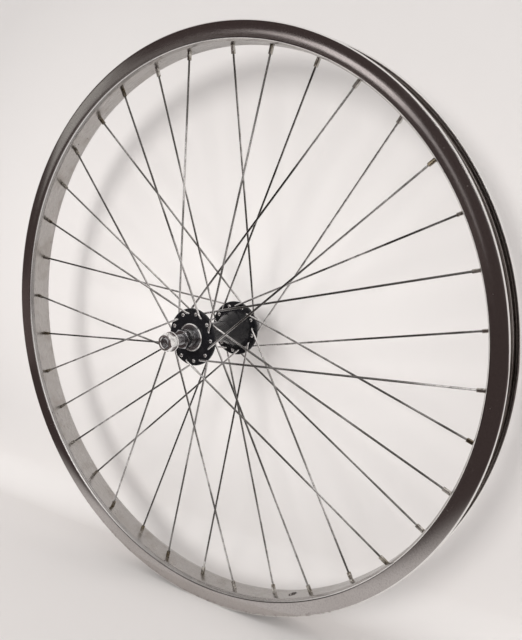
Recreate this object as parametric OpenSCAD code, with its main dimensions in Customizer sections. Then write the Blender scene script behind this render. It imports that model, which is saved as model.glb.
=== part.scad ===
// Spoked bicycle front wheel without a tyre: rim, crossed spokes, nipples and a nutted cup-and-cone hub.
// The origin is the wheel's centre. The axle lies along Y, and +Z is up.
// "Right" is the -Y side and "left" is the +Y side.

/* [Rim] */
// Diameter of the seat that the tyre's bead sits on
bead_seat_d = 559; // [540:1:622]
// Height of the rim's edge above the bead seat
edge_h = 6; // [5:0.5:7]
// Width over the rim's two edges
rim_w = 31.2; // [28:0.2:34]
// Width across the foot of the side walls
rim_foot_w = 28.4; // [26:0.2:30]
// Height of the side walls, from their foot to the edge
wall_h = 15.1; // [13:0.1:17]
// Thickness of the side walls
wall_t = 1.7; // [1.2:0.1:2.2]
// How far the side walls bow outwards halfway up
wall_bow = 0.35; // [0:0.05:0.8]
// Thickness of the rounded lip along each edge
lip_t = 2.5; // [2:0.1:3]
// Height of the slope under each lip
lip_slope = 0.8; // [0.4:0.1:1.2]
// Width of the ledge that each bead sits on
ledge_w = 2.6; // [2:0.1:4]
// Width of the slope from a ledge down to the floor
ledge_slope = 1.5; // [1:0.1:2.5]
// Thickness of the floor that the nipples pass through
floor_t = 2.2; // [2:0.1:3]
// Width of the flat floor
floor_w = 20; // [16:0.5:24]
// How far the floor lies inside the foot of the side walls
floor_drop = 2; // [1:0.1:4]
// Diameter of the valve hole
valve_hole_d = 8.5; // [6.5:0.1:9]
// Number of the nipple that the valve hole follows
valve_after = 20; // [0:1:27]

/* [Spokes] */
// Number of spokes
spokes = 36; // [28:4:40]
// How many spokes of its own flange each spoke crosses
crossings = 3; // [2:1:3]
// Diameter of a spoke
spoke_d = 2; // [1.8:0.1:2.3]
// Radius of the bend at a spoke's elbow, on its centre line
bend_r = 2.6; // [2.4:0.1:3.5]
// How much the bend thins a spoke's radius
bend_thinning = 0.02; // [0.01:0.01:0.05]
// Diameter of a spoke's head
spoke_head_d = 3.9; // [3.6:0.1:4.4]
// Thickness of a spoke's head
spoke_head_t = 1.2; // [0.8:0.1:1.6]
// Share of the head's diameter that is left at its neck
spoke_neck_share = 0.75; // [0.6:0.05:0.9]
// How far a spoke's end stays below the slot of its nipple
spoke_short = 0.2; // [0.1:0.1:1]
// Angle of the first nipple around the wheel
first_nipple = 86.12; // [0:0.01:360]
// Sideways offset of the nipples from the rim's centre line
stagger = 2.2; // [0:0.1:3]

/* [Nipples] */
// Diameter of a nipple's barrel
nipple_d = 4; // [3.8:0.1:4.4]
// Length of a nipple's barrel below its head
nipple_l = 10; // [9:0.5:14]
// Width across the wrench flats of a nipple
nipple_flats = 3.3; // [3.2:0.1:3.6]
// Share of the barrel's length that has flats
flats_share = 0.65; // [0.4:0.05:0.8]
// Diameter of a nipple's head
nipple_head_d = 5.8; // [5.4:0.1:6.4]
// Height of a nipple's head
nipple_head_h = 2.6; // [2:0.1:3]
// Share of the head's height that is its straight rim
head_rim_share = 0.4; // [0.2:0.05:0.6]
// Share of the head's diameter that is left at its top
head_top_share = 0.7; // [0.5:0.05:0.9]
// Depth of the screwdriver slot in a nipple's head
slot_depth = 1; // [0.6:0.1:1.2]
// Width of the screwdriver slot
slot_w = 1.1; // [0.8:0.1:1.4]
// How far the nipple's seat is sunk into the floor
seat_sink = 0.6; // [0.5:0.05:0.9]
// Room around a nipple in its hole
nipple_clear = 0.15; // [0.1:0.05:0.3]

/* [Hub shell] */
// Distance between the outer faces of the flanges
flange_span = 72.4; // [66:0.2:80]
// Diameter of a flange
flange_d = 55.4; // [52:0.2:64]
// Thickness of a flange
flange_t = 3.2; // [2.6:0.1:4]
// Diameter of the circle of spoke holes
hole_circle_d = 46; // [43:0.5:48]
// Room around a spoke in its flange hole
spoke_hole_clear = 0.2; // [0.1:0.05:0.3]
// Diameter of the barrel between the flanges
barrel_d = 20; // [19:0.5:26]
// Length of the straight barrel
barrel_l = 23; // [16:1:30]
// Diameter where the flared shell meets a flange
flare_d = 39; // [34:0.5:41]
// Diameter of the bore through the barrel
barrel_bore_d = 15; // [13:0.5:16]
// Diameter of the raised boss around each bearing
boss_d = 27; // [26:0.2:32]
// How far a boss stands out of its flange
boss_h = 2.55; // [2.2:0.05:4]
// Chamfer and edge rounding of the shell
shell_chamfer = 0.8; // [0.4:0.1:0.9]

/* [Bearings] */
// Diameter of a bearing ball
ball_d = 4.76; // [4.4:0.02:5]
// Number of balls in each bearing
balls = 10; // [8:1:10]
// Diameter of the circle of ball centres
ball_circle_d = 17.2; // [17:0.1:17.8]
// Outer diameter of a pressed bearing cup
cup_d = 24; // [23.6:0.1:24.4]
// Wall of the cup beside the balls
cup_wall = 0.8; // [0.6:0.05:1]
// Room between the axle and the hole in the cup
cup_hole_clear = 3; // [1.5:0.1:3.5]
// Thickness of the cup's floor, under the track
cup_floor = 1.2; // [0.8:0.1:2]
// Depth of the ball centres below the flange's outer face
ball_depth = 3.8; // [3.4:0.1:4.4]
// Depth of the cup's mouth below the flange's outer face
cup_mouth_depth = 1.2; // [0.8:0.1:1.4]
// Running room between a ball and each track
ball_clear = 0.02; // [0.01:0.01:0.04]
// How far the retainer begins above the ball centres
retainer_up = 0.2; // [0.1:0.1:0.6]
// How far the retainer reaches past the tops of the balls
retainer_past = 0.8; // [0.4:0.1:1]
// Room between the retainer's pockets and the balls
pocket_clear = 0.05; // [0.03:0.01:0.1]
// Room between the retainer and what it runs beside
retainer_clear = 0.3; // [0.2:0.05:0.4]
// Diameter of a cone's round body
cone_d = 17; // [16.6:0.1:17.4]
// Width across the spanner flats of a cone
cone_flats = 15; // [14:0.5:16]
// Length of a cone's spanner flats
cone_flats_l = 3; // [2:0.5:4]
// Gap between the retainer and the web of the dust cap
cap_gap = 0.7; // [0.3:0.1:1]
// Thickness of the dust cap's skirt
cap_skirt_t = 0.7; // [0.5:0.1:0.8]
// Width of the dust cap's outer rim
cap_rim_w = 1; // [0.6:0.1:1.4]
// Width of the slope from the rim to the web
cap_slope = 0.4; // [0.2:0.1:0.8]
// Thickness of a dust cap
cap_t = 1; // [0.8:0.1:1.4]
// Height of the dust cap's outer rim above its web
cap_step = 0.8; // [0.4:0.1:1.2]
// Room between a dust cap and the cone
cap_clear = 0.3; // [0.2:0.05:0.6]

/* [Axle] */
// Diameter of the threaded axle
axle_d = 10; // [9:0.5:10]
// Pitch of the axle's thread, which is left plain here
axle_pitch = 1; // [0.9:0.05:1.25]
// Distance over the outer faces of the locknuts
over_locknuts = 104; // [100:1:112]
// Width across the flats of a locknut
locknut_af = 17; // [15:0.5:18]
// Thickness of a locknut
locknut_t = 5; // [4:0.5:6]
// Thickness of the washer between cone and locknut
lock_washer_t = 2; // [1:0.5:3]
// Diameter of the washer between cone and locknut
lock_washer_d = 16.6; // [15:0.2:18]
// Gap between locknut and nut washer, which takes the fork end
fork_gap = 14; // [6:1:16]
// Diameter of the washer under the axle nut
nut_washer_d = 18.6; // [17:0.2:22]
// Thickness of the washer under the axle nut
nut_washer_t = 1.5; // [1:0.1:2]
// Width across the flats of an axle nut
nut_af = 15; // [14:0.5:17]
// Height of an axle nut
nut_h = 8; // [7:0.5:11]
// Width of the chamfered ring around the end faces of the nuts
nut_chamfer = 0.3; // [0.1:0.1:0.6]
// Angle of the chamfer on the corners of the nuts
nut_chamfer_angle = 30; // [20:1:35]
// How far the axle stands past its nuts
axle_past_nut = 0.3; // [0:0.1:3]
// Running room in the thread of a nut that turns
thread_clear = 0.05; // [0.02:0.01:0.1]
// Room around the axle in a washer
washer_clear = 0.3; // [0.1:0.1:0.5]
// How far the flats of the locknuts are turned
locknut_turn = 56; // [0:1:59]
// How far the flats of the right axle nut are turned
right_nut_turn = 40; // [0:5:55]
// How far the flats of the left axle nut are turned
left_nut_turn = 15; // [0:5:55]

/* [Hidden] */
$fn = 64;

RIGHT = 1;
LEFT = -1;
OUTER = 1;
INNER = -1;

// How far a cutter runs past the face that it opens
OVER = 1;
// Degrees that a spoke's bend laps into the straight parts at its ends
BEND_LAP = 2;
// Steps and angles of the curves in the rim's section
WALL_STEPS = 4;
LIP_STEPS = 5;
LIP_FROM = 60;
LIP_TO = -90;

// Finishes
POLISHED = [0.80, 0.79, 0.77];
NICKEL = [0.74, 0.71, 0.64];
STEEL = [0.56, 0.56, 0.55];
DARK_STEEL = [0.30, 0.30, 0.31];
ZINC = [0.86, 0.86, 0.85];
BLACK = [0.07, 0.07, 0.08];

// Rim radii
bead_r = bead_seat_d / 2;
edge_r = bead_r + edge_h;
foot_r = edge_r - wall_h;
well_r = foot_r - floor_drop;
floor_r = well_r + floor_t;
lip_r = lip_t / 2;

// Spoke pattern
step = 360 / spokes;
spoke_r = spoke_d / 2;
hole_r = hole_circle_d / 2;
aim_r = well_r + floor_t / 2;
seat_up = floor_t / 2 - seat_sink;
spoke_end = seat_up + nipple_head_h - slot_depth - spoke_short;
valve_at = first_nipple + (valve_after + 0.5) * step;

// Hub heights, each measured outwards from the wheel's centre plane
flange_out = flange_span / 2;
flange_in = flange_out - flange_t;
boss_top = flange_out + boss_h;
ball_z = flange_out - ball_depth;
cup_mouth = flange_out - cup_mouth_depth;
ball_r = ball_d / 2;
ball_circle_r = ball_circle_d / 2;
cup_r = cup_d / 2;
cup_bore_r = cup_r - cup_wall;
cone_r = cone_d / 2;
axle_r = axle_d / 2;

// The tracks are 45 degree cones: radius minus height is constant on each of them
track_gap = (ball_r + ball_clear) * sqrt(2);
cup_track = ball_circle_r - ball_z + track_gap;
cone_track = ball_circle_r - ball_z - track_gap;
cup_hole_r = axle_r + cup_hole_clear;
cup_floor_z = cup_hole_r - cup_track - cup_floor;

retainer_in_r = cone_r + retainer_clear;
retainer_out_r = cup_bore_r - retainer_clear;
retainer_bottom = ball_z + retainer_up;
retainer_top = ball_z + ball_r + retainer_past;
cap_bottom = retainer_top + cap_gap;
cap_top = cap_bottom + cap_t + cap_step;
cap_hole_r = cone_r + cap_clear;

locknut_out = over_locknuts / 2;
locknut_in = locknut_out - locknut_t;
cone_out = locknut_in - lock_washer_t;
nut_washer_in = locknut_out + fork_gap;
nut_in = nut_washer_in + nut_washer_t;
nut_out = nut_in + nut_h;
axle_half = nut_out + axle_past_nut;
axle_chamfer = axle_pitch;

function side_of(k) = k % 2 == 1 ? RIGHT : LEFT;
function lay_of(k) = (k % 4 == 0 || k % 4 == 3) ? OUTER : INNER;
function nipple_angle(k) = first_nipple + k * step;
function hub_angle(k) = nipple_angle(k) - lay_of(k) * crossings * 2 * step;
function at(r, angle) = [r * cos(angle), r * sin(angle)];
function to_hundredth(angle) = round(angle * 100) / 100;

// A spoke lies in the plane of its hub hole and its nipple. In that plane u runs from the hole
// towards the nipple, and h is the height over the flange face that the elbow bends over.
function face_z(lay) = lay == OUTER ? flange_out : flange_in;
function run(k) = at(aim_r, nipple_angle(k)) - at(hole_r, hub_angle(k));
function heading(k) = atan2(run(k)[1], run(k)[0]);
function reach(k) = norm(run(k)) - bend_r;
function rise(lay) = lay * (stagger - face_z(lay));
function slope(k) = to_hundredth(
    atan2(rise(lay_of(k)), reach(k)) - asin(bend_r / norm([reach(k), rise(lay_of(k))])));
function straight_l(k) = sqrt(pow(norm([reach(k), rise(lay_of(k))]), 2) - pow(bend_r, 2));

function arc(centre, r, from, to, parts) =
    [for (i = [0 : parts]) centre + at(r, from + (to - from) * i / parts)];

// Turns a shape drawn around Z, with its outward end up, into place around the axle
module on_side(side) {
    if (side == RIGHT) rotate([90, 0, 0]) children();
    else mirror([0, 1, 0]) rotate([90, 0, 0]) children();
}

module turned(section) {
    rotate_extrude() polygon(section);
}

// Turns a section that is given for its outward half and closes across the centre plane
module turned_both_ways(half) {
    far = [for (i = [len(half) - 1 : -1 : 0]) [half[i][0], -half[i][1]]];
    turned(concat(half, far));
}

// Places children on the hub hole of spoke k, with X towards the nipple and Z over the elbow
module at_hub_hole(k) {
    lay = lay_of(k);
    hole = at(hole_r, hub_angle(k));
    translate([hole[0], hole[1], face_z(lay)])
        rotate([0, 0, heading(k)])
            mirror([0, 0, lay == OUTER ? 0 : 1])
                children();
}

// Places children where spoke k passes the middle of the rim's floor, with Z along the spoke
module at_nipple(k) {
    on_side(side_of(k))
        at_hub_hole(k)
            translate([bend_r, 0, 0])
                rotate([0, 90 - slope(k), 0])
                    translate([-bend_r, 0, straight_l(k)])
                        children();
}

// The outside of a side wall, from its foot up to the lip
function bowed_wall(steps) = [for (i = [0 : steps])
    let (t = i / steps, top_r = edge_r - lip_r)
    [foot_r + t * (top_r - foot_r),
     (rim_foot_w + t * (rim_w - rim_foot_w)) / 2 + 4 * wall_bow * t * (1 - t)]];

// Half of the rim's section: floor, facet, side wall, lip, bead ledge and the way back to the floor
function rim_half() =
    let (edge_w = rim_w / 2, inner_w = edge_w - wall_t, ledge_in = inner_w - ledge_w)
    concat(
        [[well_r, floor_w / 2]],
        bowed_wall(WALL_STEPS),
        arc([edge_r - lip_r, edge_w - lip_r], lip_r, LIP_FROM, LIP_TO, LIP_STEPS),
        [[edge_r - lip_t, edge_w - lip_t], [edge_r - lip_t - lip_slope, inner_w],
         [bead_r, inner_w], [bead_r, ledge_in],
         [floor_r, ledge_in - ledge_slope]]
    );

module rim() {
    color(POLISHED)
    difference() {
        on_side(RIGHT) turned_both_ways(rim_half(), $fn = 180);
        for (k = [0 : spokes - 1]) at_nipple(k) nipple_hole();
        rotate([0, -valve_at, 0])
            translate([well_r - OVER, 0, 0])
                rotate([0, 90, 0])
                    cylinder(d = valve_hole_d, h = floor_t + 2 * OVER);
    }
}

// The hole and the sunk seat of one nipple
module nipple_hole() {
    barrel_r = nipple_d / 2 + nipple_clear;
    head_r = nipple_head_d / 2 + nipple_clear;
    turned([
        [0, -floor_t], [barrel_r, -floor_t], [barrel_r, seat_up],
        [head_r, seat_up], [head_r, seat_up + floor_t], [0, seat_up + floor_t]
    ]);
}

module nipple() {
    flats_l = nipple_l * flats_share;
    rim_h = nipple_head_h * head_rim_share;
    difference() {
        union() {
            translate([0, 0, seat_up - nipple_l])
                cylinder(d = nipple_d, h = nipple_l);
            translate([0, 0, seat_up])
                cylinder(d = nipple_head_d, h = rim_h);
            translate([0, 0, seat_up + rim_h])
                cylinder(d1 = nipple_head_d, d2 = nipple_head_d * head_top_share, h = nipple_head_h - rim_h);
        }
        for (turn = [0 : 90 : 270])
            rotate([0, 0, turn])
                translate([nipple_flats / 2, -nipple_d, seat_up - nipple_l - OVER])
                    cube([nipple_d, 2 * nipple_d, flats_l + OVER]);
        translate([-nipple_head_d, -slot_w / 2, seat_up + nipple_head_h - slot_depth])
            cube([2 * nipple_head_d, slot_w, 2 * slot_depth]);
        translate([0, 0, seat_up - nipple_l - OVER])
            cylinder(r = spoke_r, h = nipple_l + nipple_head_h + 2 * OVER);
    }
}

module nipples(side) {
    color(NICKEL)
    for (k = [0 : spokes - 1])
        if (side_of(k) == side) at_nipple(k) nipple();
}

// One spoke in its own plane: head, shank through the flange, elbow and straight part.
// The elbow is drawn a little thin by its bend, and laps into the parts at its two ends.
module spoke(k) {
    turn = 90 - slope(k);
    translate([0, 0, -flange_t]) {
        cylinder(r = spoke_r, h = flange_t);
        translate([0, 0, -spoke_head_t])
            cylinder(d1 = spoke_head_d * spoke_neck_share, d2 = spoke_head_d, h = spoke_head_t);
    }
    translate([bend_r, 0, 0]) {
        rotate([90, BEND_LAP, 180])
            rotate_extrude(angle = turn + 2 * BEND_LAP)
                translate([bend_r, 0]) circle(r = spoke_r - bend_thinning);
        rotate([0, turn, 0])
            translate([-bend_r, 0, 0])
                cylinder(r = spoke_r, h = straight_l(k) + spoke_end);
    }
}

module spoke_set(side, lay) {
    color(STEEL)
    for (k = [0 : spokes - 1])
        if (side_of(k) == side && lay_of(k) == lay)
            on_side(side) at_hub_hole(k) spoke(k);
}

// Half of the shell's section: barrel, flare, flange, boss and the seat of the bearing cup
function shell_half() =
    let (c = shell_chamfer, flange_r = flange_d / 2, boss_r = boss_d / 2, bore_r = barrel_bore_d / 2)
    [
        [barrel_d / 2, barrel_l / 2], [flare_d / 2, flange_in],
        [flange_r - c, flange_in], [flange_r, flange_in + c],
        [flange_r, flange_out - c], [flange_r - c, flange_out],
        [boss_r, flange_out], [boss_r, boss_top - c], [boss_r - c, boss_top],
        [cup_r, boss_top], [cup_r, cup_floor_z], [bore_r, cup_floor_z]
    ];

module hub_shell() {
    color(BLACK)
    difference() {
        on_side(RIGHT) turned_both_ways(shell_half(), $fn = 96);
        for (k = [0 : spokes - 1])
            on_side(side_of(k)) at_hub_hole(k)
                translate([0, 0, -flange_t - OVER])
                    cylinder(r = spoke_r + spoke_hole_clear, h = flange_t + 2 * OVER);
    }
}

module cup(side) {
    color(STEEL)
    on_side(side) turned([
        [cup_hole_r, cup_floor_z], [cup_r, cup_floor_z], [cup_r, cup_mouth], [cup_bore_r, cup_mouth],
        [cup_bore_r, cup_bore_r - cup_track], [cup_hole_r, cup_hole_r - cup_track]
    ]);
}

module dust_cap(side) {
    skirt_r = cup_r - cap_skirt_t;
    rim_in_r = cup_r - cap_rim_w;
    color(DARK_STEEL)
    on_side(side) turned([
        [skirt_r, cup_mouth], [cup_r, cup_mouth], [cup_r, cap_top], [rim_in_r, cap_top],
        [rim_in_r - cap_slope, cap_top - cap_step], [cap_hole_r, cap_top - cap_step],
        [cap_hole_r, cap_bottom], [skirt_r, cap_bottom]
    ]);
}

module ball_set(side) {
    color(POLISHED)
    on_side(side)
        for (i = [0 : balls - 1])
            rotate([0, 0, i * 360 / balls])
                translate([ball_circle_r, 0, ball_z])
                    sphere(r = ball_r);
}

module retainer(side) {
    color(STEEL)
    on_side(side)
        difference() {
            turned([
                [retainer_in_r, retainer_bottom], [retainer_out_r, retainer_bottom],
                [retainer_out_r, retainer_top], [retainer_in_r, retainer_top]
            ]);
            for (i = [0 : balls - 1])
                rotate([0, 0, i * 360 / balls])
                    translate([ball_circle_r, 0, ball_z])
                        sphere(r = ball_r + pocket_clear);
        }
}

module cone(side) {
    color(DARK_STEEL)
    on_side(side)
        difference() {
            turned([
                [axle_r, axle_r - cone_track], [cone_r, cone_r - cone_track],
                [cone_r, cone_out], [axle_r, cone_out]
            ]);
            for (turn = [0, 180])
                rotate([0, 0, turn])
                    translate([cone_flats / 2, -cone_r, cone_out - cone_flats_l])
                        cube([cone_r, cone_d, cone_flats_l + OVER]);
        }
}

module lock_washer(side) {
    color(STEEL)
    on_side(side) turned([
        [axle_r + washer_clear, cone_out], [lock_washer_d / 2, cone_out],
        [lock_washer_d / 2, locknut_in], [axle_r + washer_clear, locknut_in]
    ]);
}

// A hexagon nut from z = 0 to h, chamfered at its top and, if both is set, at its bottom
module hex_nut(af, h, bore_r, both) {
    corner_r = af / sqrt(3);
    face_r = af / 2 - nut_chamfer;
    drop = (corner_r - face_r) * tan(nut_chamfer_angle);
    bottom = both ? [[0, 0], [face_r, 0], [corner_r, drop]] : [[0, 0], [corner_r, 0]];
    top = [[corner_r, h - drop], [face_r, h], [0, h]];
    difference() {
        intersection() {
            cylinder(r = corner_r, h = h, $fn = 6);
            turned(concat(bottom, top));
        }
        translate([0, 0, -OVER]) cylinder(r = bore_r, h = h + 2 * OVER);
    }
}

module locknut(side) {
    color(DARK_STEEL)
    on_side(side) translate([0, 0, locknut_in]) rotate([0, 0, locknut_turn])
        hex_nut(locknut_af, locknut_t, axle_r, true);
}

module nut_washer(side) {
    color(ZINC)
    on_side(side) turned([
        [axle_r + washer_clear, nut_washer_in], [nut_washer_d / 2, nut_washer_in],
        [nut_washer_d / 2, nut_in], [axle_r + washer_clear, nut_in]
    ]);
}

module axle_nut(side, turn) {
    color(ZINC)
    on_side(side) translate([0, 0, nut_in]) rotate([0, 0, turn])
        hex_nut(nut_af, nut_h, axle_r + thread_clear, false);
}

module axle() {
    color(DARK_STEEL)
    on_side(RIGHT) turned([
        [0, -axle_half], [axle_r - axle_chamfer, -axle_half], [axle_r, axle_chamfer - axle_half],
        [axle_r, axle_half - axle_chamfer], [axle_r - axle_chamfer, axle_half], [0, axle_half]
    ]);
}

rim();
nipples(RIGHT);  // nipples_right
nipples(LEFT);  // nipples_left
spoke_set(RIGHT, OUTER);  // spokes_right_outer
spoke_set(RIGHT, INNER);  // spokes_right_inner
spoke_set(LEFT, OUTER);  // spokes_left_outer
spoke_set(LEFT, INNER);  // spokes_left_inner
hub_shell();
cup(RIGHT);  // cup_right
cup(LEFT);  // cup_left
dust_cap(RIGHT);  // dust_cap_right
dust_cap(LEFT);  // dust_cap_left
ball_set(RIGHT);  // balls_right
ball_set(LEFT);  // balls_left
retainer(RIGHT);  // retainer_right
retainer(LEFT);  // retainer_left
cone(RIGHT);  // cone_right
cone(LEFT);  // cone_left
lock_washer(RIGHT);  // lock_washer_right
lock_washer(LEFT);  // lock_washer_left
locknut(RIGHT);  // locknut_right
locknut(LEFT);  // locknut_left
axle();
nut_washer(RIGHT);  // nut_washer_right
nut_washer(LEFT);  // nut_washer_left
axle_nut(RIGHT, right_nut_turn);  // axle_nut_right
axle_nut(LEFT, left_nut_turn);  // axle_nut_left
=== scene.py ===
"""Looks of a spoked bicycle front wheel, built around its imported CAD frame.

Lengths are in millimetres in the tables and profiles, and become metres when a mesh is made.
"Right" is the -Y side, which the camera sees, and "left" is the +Y side.
"""

import math
from functools import cached_property

import bmesh
import bpy
from mathutils import Matrix, Vector


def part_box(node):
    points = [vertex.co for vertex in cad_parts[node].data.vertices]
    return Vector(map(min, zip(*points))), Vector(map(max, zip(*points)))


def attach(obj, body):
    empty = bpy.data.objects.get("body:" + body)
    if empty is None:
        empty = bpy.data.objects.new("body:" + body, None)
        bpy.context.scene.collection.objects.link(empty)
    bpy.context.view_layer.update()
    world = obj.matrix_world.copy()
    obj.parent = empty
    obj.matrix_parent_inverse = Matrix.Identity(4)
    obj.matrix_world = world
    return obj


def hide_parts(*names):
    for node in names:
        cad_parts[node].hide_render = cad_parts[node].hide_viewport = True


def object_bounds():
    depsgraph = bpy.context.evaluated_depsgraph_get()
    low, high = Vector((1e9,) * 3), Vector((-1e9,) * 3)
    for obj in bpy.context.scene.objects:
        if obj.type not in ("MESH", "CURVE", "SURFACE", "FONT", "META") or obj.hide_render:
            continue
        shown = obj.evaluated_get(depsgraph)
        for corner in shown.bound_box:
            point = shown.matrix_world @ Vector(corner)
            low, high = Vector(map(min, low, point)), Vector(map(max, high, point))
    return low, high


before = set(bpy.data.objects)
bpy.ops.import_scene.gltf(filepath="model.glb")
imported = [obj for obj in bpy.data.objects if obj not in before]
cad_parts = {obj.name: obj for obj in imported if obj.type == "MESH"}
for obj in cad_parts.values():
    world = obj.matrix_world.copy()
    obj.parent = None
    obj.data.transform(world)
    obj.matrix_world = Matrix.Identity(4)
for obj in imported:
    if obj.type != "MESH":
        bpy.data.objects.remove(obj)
CAD_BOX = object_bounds()

MM = 0.001
RIGHT, LEFT = 1, -1
OUTER, INNER = 1, -1
SIDES = {"right": RIGHT, "left": LEFT}


def reach_mm(node, axis=0):
    """The far side of a CAD node along an axis, in millimetres."""
    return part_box(node)[1][axis] / MM


# Rim
EDGE_R = reach_mm("rim")
RIM_W = 31.2
FOOT_R = EDGE_R - 15.1
FOOT_W = 28.4
WELL_R = FOOT_R - 2.0
FLOOR_T = 2.2
FLOOR_W = 20.0
WALL_T = 1.7
WALL_BOW = 0.35
LIP_T = 2.5
LEDGE_R = EDGE_R - 6.0
LEDGE_W = 2.6
GROOVE = 0.3
SIDE_FROM, SIDE_STEPS = 0.06, 12
VALVE_R = 4.25

# Spokes and nipples
SPOKES = 36
STEP = 360 / SPOKES
# Steps round the wheel from a spoke's hole in the flange to its nipple
LEAN = 6
FIRST_NIPPLE = 86.12
VALVE_AT = FIRST_NIPPLE + 20.5 * STEP
SPOKE_R = 1.0
BEND_R = 2.6
HEAD_R, HEAD_T = 1.95, 1.2
STAGGER = 2.2
HOLE_CIRCLE_R = 23.0
NIPPLE_R, NIPPLE_L = 2.0, 10.0
NIPPLE_FLAT = 1.65
NIPPLE_FLATS_L = 6.5
NIPPLE_HEAD_R, NIPPLE_HEAD_H = 2.9, 2.6
SLOT_W, SLOT_DEPTH = 1.1, 1.0
SEAT_UP = 0.5
NIPPLE_CLEAR = 0.15
SPOKE_END = 1.9
SPOKE_SIDES, BEND_STEPS, WIRE_STEPS = 16, 8, 12

# Hub
FLANGE_OUT = 36.2
FLANGE_T = 3.2
FLANGE_IN = FLANGE_OUT - FLANGE_T
FLANGE_R = reach_mm("hub_shell")
BOSS_TOP = reach_mm("hub_shell", 1)
BOSS_R = 13.5
FLARE_R = 19.5
BARREL_R, BARREL_END = 10.0, 11.5
BARREL_BORE_R = 7.5
CUP_R, CUP_FLOOR = 12.0, 27.0
SPOKE_HOLE_R = SPOKE_R + 0.2
HUB_EDGE = 0.8
CAP_TOP = reach_mm("dust_cap_left", 1)
CAP_STEP = 0.8
CAP_MOUTH = 35.0

# How many sides the round pieces and their holes have
RIM_SIDES, SHELL_SIDES, CAP_SIDES, TURNED_SIDES, NUT_SIDES = 720, 192, 128, 96, 144
NIPPLE_SIDES, NIPPLE_HOLE_SIDES, VALVE_SIDES, SPOKE_HOLE_SIDES = 48, 28, 40, 24

# Axle and what is on it
AXLE_R = 5.0
AXLE_HALF = reach_mm("axle", 1)
AXLE_SIDES = 40
PITCH = 1.0
THREAD_DEPTH = 0.5
AXLE_END_R = AXLE_R - PITCH
# The dimple in each end of the axle, as radii and depths
DIMPLE = [(3.4, 0.0), (3.2, 0.1), (1.4, 0.25), (1.2, 0.9), (0.05, 1.3)]
CONE_R, CONE_FLAT, CONE_FLATS_L = 8.5, 7.5, 3.0
CONE_OUT = reach_mm("cone_left", 1)
CONE_TRACK = -27.2
LOCKNUT_AF, LOCKNUT_TURN = 17.0, 56.0
NUT_AF = 15.0
NUT_TURN = {"right": 40.0, "left": 15.0}
NUT_CHAMFER = 0.3
CHAMFER_TILT, CHAMFER_STEPS = 30, 12
CORNER_OFF = 0.12


# ---- Mesh code ---------------------------------------------------------------------------------

def add_mesh(name, verts, faces, scale=MM):
    """A closed mesh with its normals outwards, as a new object."""
    mesh = bpy.data.meshes.new(name)
    mesh.from_pydata([[c * scale for c in v] for v in verts], [], faces)
    bm = bmesh.new()
    bm.from_mesh(mesh)
    bmesh.ops.recalc_face_normals(bm, faces=bm.faces)
    bm.to_mesh(mesh)
    bm.free()
    obj = bpy.data.objects.new(name, mesh)
    bpy.context.scene.collection.objects.link(obj)
    return obj


def smooth(obj, angle=32):
    """Smooth shading with the edges that turn by more than the angle kept sharp."""
    bm = bmesh.new()
    bm.from_mesh(obj.data)
    for face in bm.faces:
        face.smooth = True
    for edge in bm.edges:
        edge.smooth = len(edge.link_faces) == 2 and edge.calc_face_angle(0) < math.radians(angle)
    bm.to_mesh(obj.data)
    bm.free()
    return obj


def cut(obj, cutter):
    """Takes the cutter out of the object, and the cutter away."""
    modifier = obj.modifiers.new("cut", "BOOLEAN")
    modifier.operation = "DIFFERENCE"
    modifier.solver = "EXACT"
    modifier.object = cutter
    graph = bpy.context.evaluated_depsgraph_get()
    mesh = bpy.data.meshes.new_from_object(obj.evaluated_get(graph))
    obj.modifiers.clear()
    obj.data = mesh
    bpy.data.objects.remove(cutter)
    return obj


def piece(obj, body, slot_name, *replaced):
    """Hands a finished mesh to the frame."""
    obj.data.materials.clear()
    obj.data.materials.append(FINISHES[slot_name])
    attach(obj, body)
    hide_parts(*replaced)
    return obj


def polar(r, angle):
    """The point at a distance and an angle in degrees."""
    return r * math.cos(math.radians(angle)), r * math.sin(math.radians(angle))


def arc(centre, r, start, end, parts):
    """Points on part of a circle, from one angle to another."""
    spots = [polar(r, start + (end - start) * i / parts) for i in range(parts + 1)]
    return [(centre[0] + x, centre[1] + y) for x, y in spots]


def filleted(corners, parts=4):
    """A closed outline with its corners rounded: each corner is (x, y, radius)."""
    out = []
    for i, (x, y, radius) in enumerate(corners):
        here = Vector((x, y))
        before = Vector(corners[i - 1][:2]) - here
        after = Vector(corners[(i + 1) % len(corners)][:2]) - here
        half = before.angle(after, math.pi) / 2
        if radius <= 0 or half > math.radians(89):
            out.append((x, y))
            continue
        back = min(radius / math.tan(half), before.length * 0.45, after.length * 0.45)
        a, b = here + before.normalized() * back, here + after.normalized() * back
        for j in range(parts + 1):
            t = j / parts
            out.append(tuple((1 - t) ** 2 * a + 2 * t * (1 - t) * here + t * t * b))
    return out


def skin(rows, n, rows_close=False, row_closes=True, first=0):
    """Faces between neighbouring rows of n points each, the first of which has the index given."""
    faces = []
    for k in range(rows if rows_close else rows - 1):
        a, b = first + k * n, first + (k + 1) % rows * n
        for i in range(n if row_closes else n - 1):
            j = (i + 1) % n
            faces.append((a + i, a + j, b + j, b + i))
    return faces


def revolved(outline, steps):
    """Turns a closed outline of (radius, height) around Z."""
    verts = [(*polar(r, 360 * s / steps), h) for s in range(steps) for r, h in outline]
    return verts, skin(steps, len(outline), rows_close=True)


def stacked(rings, bore_rings=()):
    """Skins rings of equal length in order and closes both ends, or runs back down a bore."""
    rings = [*rings, *bore_rings]
    n = len(rings[0])
    verts = [p for one in rings for p in one]
    faces = skin(len(rings), n, rows_close=bool(bore_rings))
    if not bore_rings:
        faces += [tuple(reversed(range(n))), tuple(range(len(verts) - n, len(verts)))]
    return verts, faces


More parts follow.
